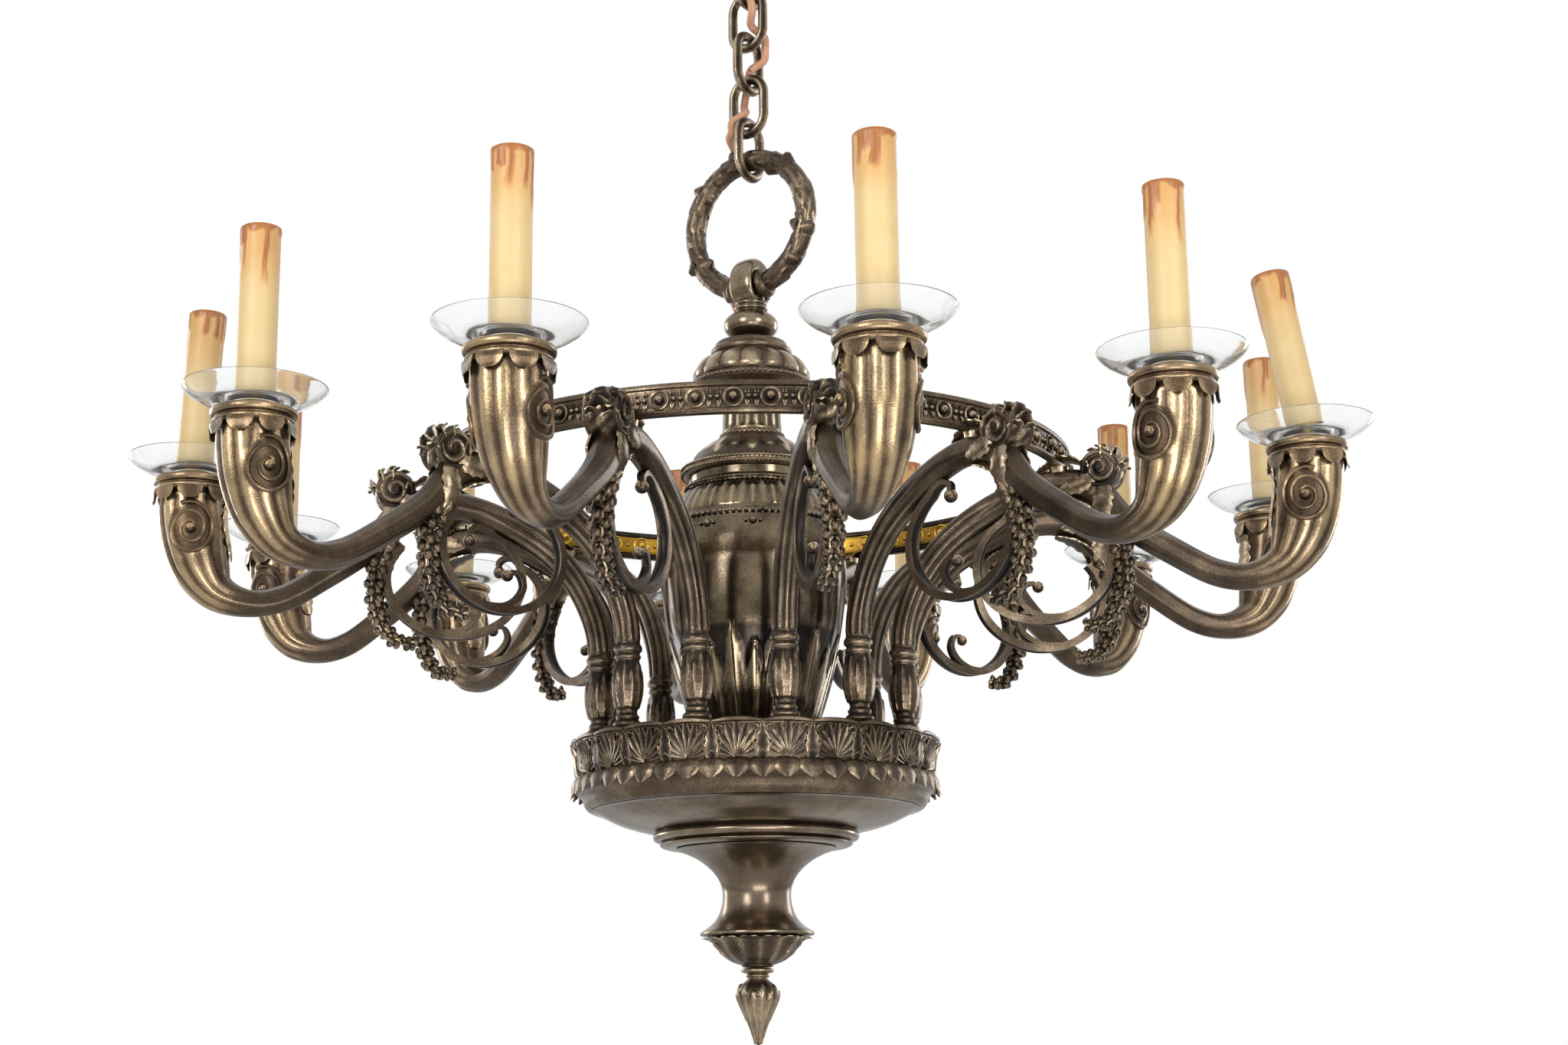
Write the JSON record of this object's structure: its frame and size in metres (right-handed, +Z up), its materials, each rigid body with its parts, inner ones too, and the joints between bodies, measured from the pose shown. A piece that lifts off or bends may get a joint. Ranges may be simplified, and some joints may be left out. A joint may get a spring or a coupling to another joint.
{
  "type": "candle chandelier",
  "caption": "Bronze candle chandelier with scrolled arms round an urn, a pearled hoop, a gallery with a pendant drop, glass drip dishes, a wreath ring and a chain to a canopy.",
  "frame": {"origin": "middle of the ceiling bracket's flat back, where it meets the ceiling", "axes": "+Z up into the ceiling, the chandelier hangs down along -Z; -Y is the side the picture sees, +X is its right"},
  "size_m": [0.878, 0.8783, 0.8703],
  "materials": {
    "bronze": "dark brown patina on chased and polished bronze",
    "brass": "plain brass",
    "glass": "clear blown glass",
    "candle": "wax look with orange drips at the top",
    "ceramic": "glazed off-white",
    "lead_sheath": "pale orange-pink sheath"
  },
  "bodies": {
    "ceiling_fitting": {"ceiling_bracket": "brass", "canopy": "bronze", "canopy_nut": "bronze", "canopy_loop": "bronze", "terminal_block": "ceramic", "supply_lead": "lead_sheath"},
    "link_4": {"chain_link_4": "bronze"},
    "link_3": {"chain_link_3": "bronze"},
    "link_2": {"chain_link_2": "bronze"},
    "link_1": {"chain_link_1": "bronze"},
    "ring": {"wreath_ring": "bronze"},
    "chandelier": {"arm_01": "bronze", "arm_02": "bronze", "arm_03": "bronze", "arm_04": "bronze", "arm_05": "bronze", "arm_06": "bronze", "arm_07": "bronze", "arm_08": "bronze", "arm_09": "bronze", "arm_10": "bronze", "arm_11": "bronze", "arm_12": "bronze", "bobeche_01": "glass", "bobeche_02": "glass", "bobeche_03": "glass", "bobeche_04": "glass", "bobeche_05": "glass", "bobeche_06": "glass", "bobeche_07": "glass", "bobeche_08": "glass", "bobeche_09": "glass", "bobeche_10": "glass", "bobeche_11": "glass", "bobeche_12": "glass", "candle_sleeve_01": "candle", "candle_sleeve_02": "candle", "candle_sleeve_03": "candle", "candle_sleeve_04": "candle", "candle_sleeve_05": "candle", "candle_sleeve_06": "candle", "candle_sleeve_07": "candle", "candle_sleeve_08": "candle", "candle_sleeve_09": "candle", "candle_sleeve_10": "candle", "candle_sleeve_11": "candle", "candle_sleeve_12": "candle", "hoop": "bronze", "gallery_band": "bronze", "bowl_pan": "bronze", "pendant_trumpet": "bronze", "leaf_cup": "bronze", "finial_drop": "bronze", "urn_body": "bronze", "urn_lid": "bronze", "neck_collar": "bronze", "crown_dome": "bronze", "hanging_stem": "bronze", "central_tube": "brass", "rod_nut": "brass"}
  },
  "joints": [
    {"name": "link_4_swing", "type": "hinge", "parent": "ceiling_fitting", "child": "link_4", "pos_m": [0, 0, -0.0863], "axis": [-0.5736, -0.8192, 0], "range_deg": [-15, 15], "deforming": ["supply_lead"]},
    {"name": "link_3_swing", "type": "hinge", "parent": "link_4", "child": "link_3", "pos_m": [0, 0, -0.1216], "axis": [0.8192, -0.5736, 0], "range_deg": [-15, 15], "deforming": ["supply_lead"]},
    {"name": "link_2_swing", "type": "hinge", "parent": "link_3", "child": "link_2", "pos_m": [0, 0, -0.1569], "axis": [-0.5736, -0.8192, 0], "range_deg": [-15, 15], "deforming": ["supply_lead"]},
    {"name": "link_1_swing", "type": "hinge", "parent": "link_2", "child": "link_1", "pos_m": [0, 0, -0.1922], "axis": [0.8192, -0.5736, 0], "range_deg": [-15, 15], "deforming": ["supply_lead"]},
    {"name": "ring_swing", "type": "hinge", "parent": "link_1", "child": "ring", "pos_m": [0, 0, -0.2275], "axis": [-0.5736, -0.8192, 0], "range_deg": [-15, 15], "deforming": ["supply_lead"]},
    {"name": "chandelier_swing", "type": "hinge", "parent": "ring", "child": "chandelier", "pos_m": [0, 0, -0.3162], "axis": [0.8192, -0.5736, 0], "range_deg": [-15, 15], "deforming": ["supply_lead"]}
  ]
}
